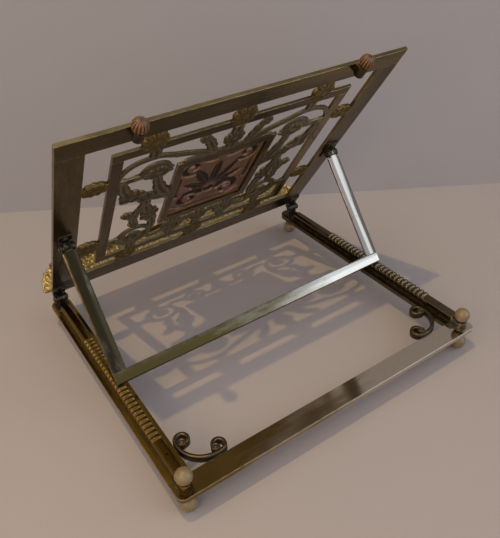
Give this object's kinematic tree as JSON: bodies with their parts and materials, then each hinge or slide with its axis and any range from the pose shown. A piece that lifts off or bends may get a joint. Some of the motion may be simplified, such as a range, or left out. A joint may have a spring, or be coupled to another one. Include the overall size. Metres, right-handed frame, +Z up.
{
  "type": "book stand",
  "caption": "Folding brass book stand: pierced scrollwork panel with a copper plaque, hinged to a ball-footed base and held at a slant by a prop on notched rails.",
  "frame": {"origin": "middle of the stand's outline seen from above, on the surface that the feet stand on", "axes": "+X to the reader's right along the hinges, +Y away from the reader towards the rear crossbar, +Z up; the book lies on the side that faces -Y"},
  "size_m": [0.2616, 0.2422, 0.2163],
  "materials": {
    "rail_brass": "worn golden brass, rubbed bright on top edges",
    "frame_brass": "dark olive tarnish over brass",
    "pale_brass": "pale polished brass with faint streaks",
    "gilt_brass": "gilt brass, darker in the hollows",
    "dark_brass": "nearly black tarnish, rubbed on edges",
    "copper_sheet": "reddish copper with dark hollows",
    "bone": "polished cream bone",
    "amber_bone": "amber bone with cream ribs"
  },
  "bodies": {
    "base": {"left_rail_strip": "rail_brass", "right_rail_strip": "rail_brass", "rear_crossbar": "rail_brass", "left_rack_bar": "rail_brass", "right_rack_bar": "rail_brass", "rack_rivets": "rail_brass", "left_corner_scroll": "frame_brass", "right_corner_scroll": "frame_brass", "front_left_foot": "bone", "front_right_foot": "bone", "rear_left_foot": "bone", "rear_right_foot": "bone", "foot_collars": "rail_brass", "foot_studs": "dark_brass", "finial_washers": "rail_brass", "left_finial_ball": "bone", "right_finial_ball": "bone", "left_hinge_post": "dark_brass", "right_hinge_post": "dark_brass", "hinge_post_screws": "dark_brass"},
    "panel": {"panel_top_rail": "frame_brass", "panel_bottom_rail": "frame_brass", "panel_left_stile": "frame_brass", "panel_right_stile": "frame_brass", "inner_top_bar": "frame_brass", "inner_bottom_bar": "frame_brass", "inner_left_bar": "frame_brass", "inner_right_bar": "frame_brass", "top_leaf_tabs": "gilt_brass", "bottom_leaf_tabs": "gilt_brass", "side_leaf_tabs": "gilt_brass", "left_scrollwork": "frame_brass", "right_scrollwork": "frame_brass", "crest_ornament": "frame_brass", "base_ornament": "frame_brass", "plaque_frame": "frame_brass", "copper_plaque": "copper_sheet", "plaque_rivets": "gilt_brass", "ledge_shelf": "gilt_brass", "ledge_lip": "gilt_brass", "left_ledge_shell": "gilt_brass", "right_ledge_shell": "gilt_brass", "ledge_pins": "gilt_brass", "left_knob": "amber_bone", "right_knob": "amber_bone", "knob_sockets": "dark_brass", "knob_studs": "dark_brass", "left_panel_hinge": "dark_brass", "right_panel_hinge": "dark_brass", "panel_hinge_screws": "dark_brass", "panel_hinge_pins": "dark_brass", "left_prop_hinge": "dark_brass", "right_prop_hinge": "dark_brass", "prop_hinge_screws": "dark_brass", "prop_hinge_pins": "dark_brass"},
    "prop": {"left_prop_leg": "pale_brass", "right_prop_leg": "pale_brass", "prop_crossbar": "pale_brass"}
  },
  "joints": [
    {"name": "panel_tilt", "type": "hinge", "parent": "base", "child": "panel", "pos_m": [0, -0.0987, 0.0307], "axis": [1, 0, 0], "range_deg": [-52, 18]},
    {"name": "prop_fold", "type": "hinge", "parent": "panel", "child": "prop", "pos_m": [0, -0.03885, 0.11081], "axis": [1, 0, 0], "range_deg": [-36, 104]}
  ],
  "couplings": [
    {"joint": "prop_fold", "follows": "panel_tilt", "ratio": -2}
  ]
}
